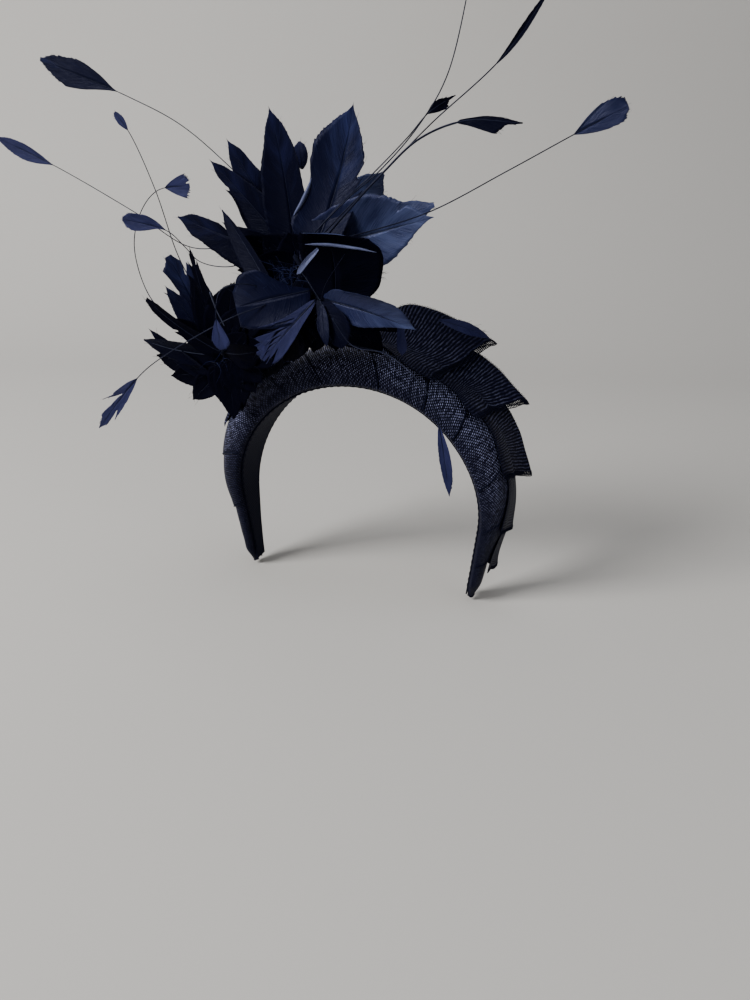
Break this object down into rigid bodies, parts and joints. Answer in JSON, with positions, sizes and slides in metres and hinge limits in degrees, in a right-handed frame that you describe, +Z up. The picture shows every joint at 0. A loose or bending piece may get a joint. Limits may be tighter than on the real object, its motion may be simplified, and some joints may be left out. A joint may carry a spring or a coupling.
{
  "type": "fascinator",
  "caption": "Padded halo headband wound with woven braid, trimmed with folded braid loops, feather flowers on wired stalks and sprays of trimmed quills.",
  "frame": {"origin": "the middle of the lining's inner face at the crown, where the band rests on the top of the head", "axes": "+Z up as worn, -Y the way the wearer looks, +X towards the wearer's left"},
  "size_m": [0.3625, 0.1181, 0.326],
  "materials": {
    "lining": "matt woven ribbon",
    "core": "plain spring strip",
    "padding": "soft wadding",
    "braid": "glossy woven straw braid",
    "feather": "dyed feather with a satin sheen",
    "thread": "bound thread"
  },
  "bodies": {
    "root": {"lining": "lining", "core_strip": "core", "padding": "padding", "wrap_crown": "braid", "wrap_left_1": "braid", "wrap_left_2": "braid", "wrap_left_3": "braid", "wrap_left_4": "braid", "wrap_left_5": "braid", "wrap_left_6": "braid", "wrap_right_1": "braid", "wrap_right_2": "braid", "wrap_right_3": "braid", "wrap_right_4": "braid", "wrap_right_5": "braid", "loop_crown": "braid", "loop_upper": "braid", "loop_shoulder": "braid", "loop_side": "braid", "loop_lower": "braid", "flower_base": "lining", "large_flower_stalk": "thread", "small_flower_stalk": "thread", "low_spray_binding": "thread", "large_petal_right": "feather", "large_petal_top_broad": "feather", "large_petal_top": "feather", "large_petal_top_left": "feather", "large_petal_top_back": "feather", "large_petal_upper_right": "feather", "large_petal_left_front": "feather", "large_petal_left": "feather", "large_petal_lower_left": "feather", "large_petal_front_cup": "feather", "large_petal_front_right": "feather", "large_petal_front_down": "feather", "large_petal_front_split": "feather", "small_petal_front": "feather", "small_petal_dark": "feather", "small_petal_inner": "feather", "small_petal_top": "feather", "small_petal_low": "feather", "small_petal_outer": "feather", "small_petal_back": "feather", "small_petal_lowest": "feather", "quill_low_tall": "feather", "quill_low_curled": "feather", "quill_front_left": "feather", "quill_front_curl": "feather", "quill_front_right": "feather"},
    "left_spray": {"quill_left_high": "feather", "quill_left_long": "feather", "quill_left_short": "feather", "left_spray_binding": "thread"},
    "right_spray": {"quill_right_tallest": "feather", "quill_right_high": "feather", "quill_right_small": "feather", "quill_right_forked": "feather", "quill_right_long": "feather", "right_spray_binding": "thread"}
  },
  "joints": [
    {"name": "left_spray_sway", "type": "hinge", "parent": "root", "child": "left_spray", "pos_m": [-0.049, 0.003, 0.076], "axis": [0, 1, 0], "range_deg": [-5, 5], "stiffness_Nm_per_rad": 0.08},
    {"name": "right_spray_sway", "type": "hinge", "parent": "root", "child": "right_spray", "pos_m": [-0.014, -0.046, 0.075], "axis": [0, 1, 0], "range_deg": [-5, 5], "stiffness_Nm_per_rad": 0.08}
  ]
}
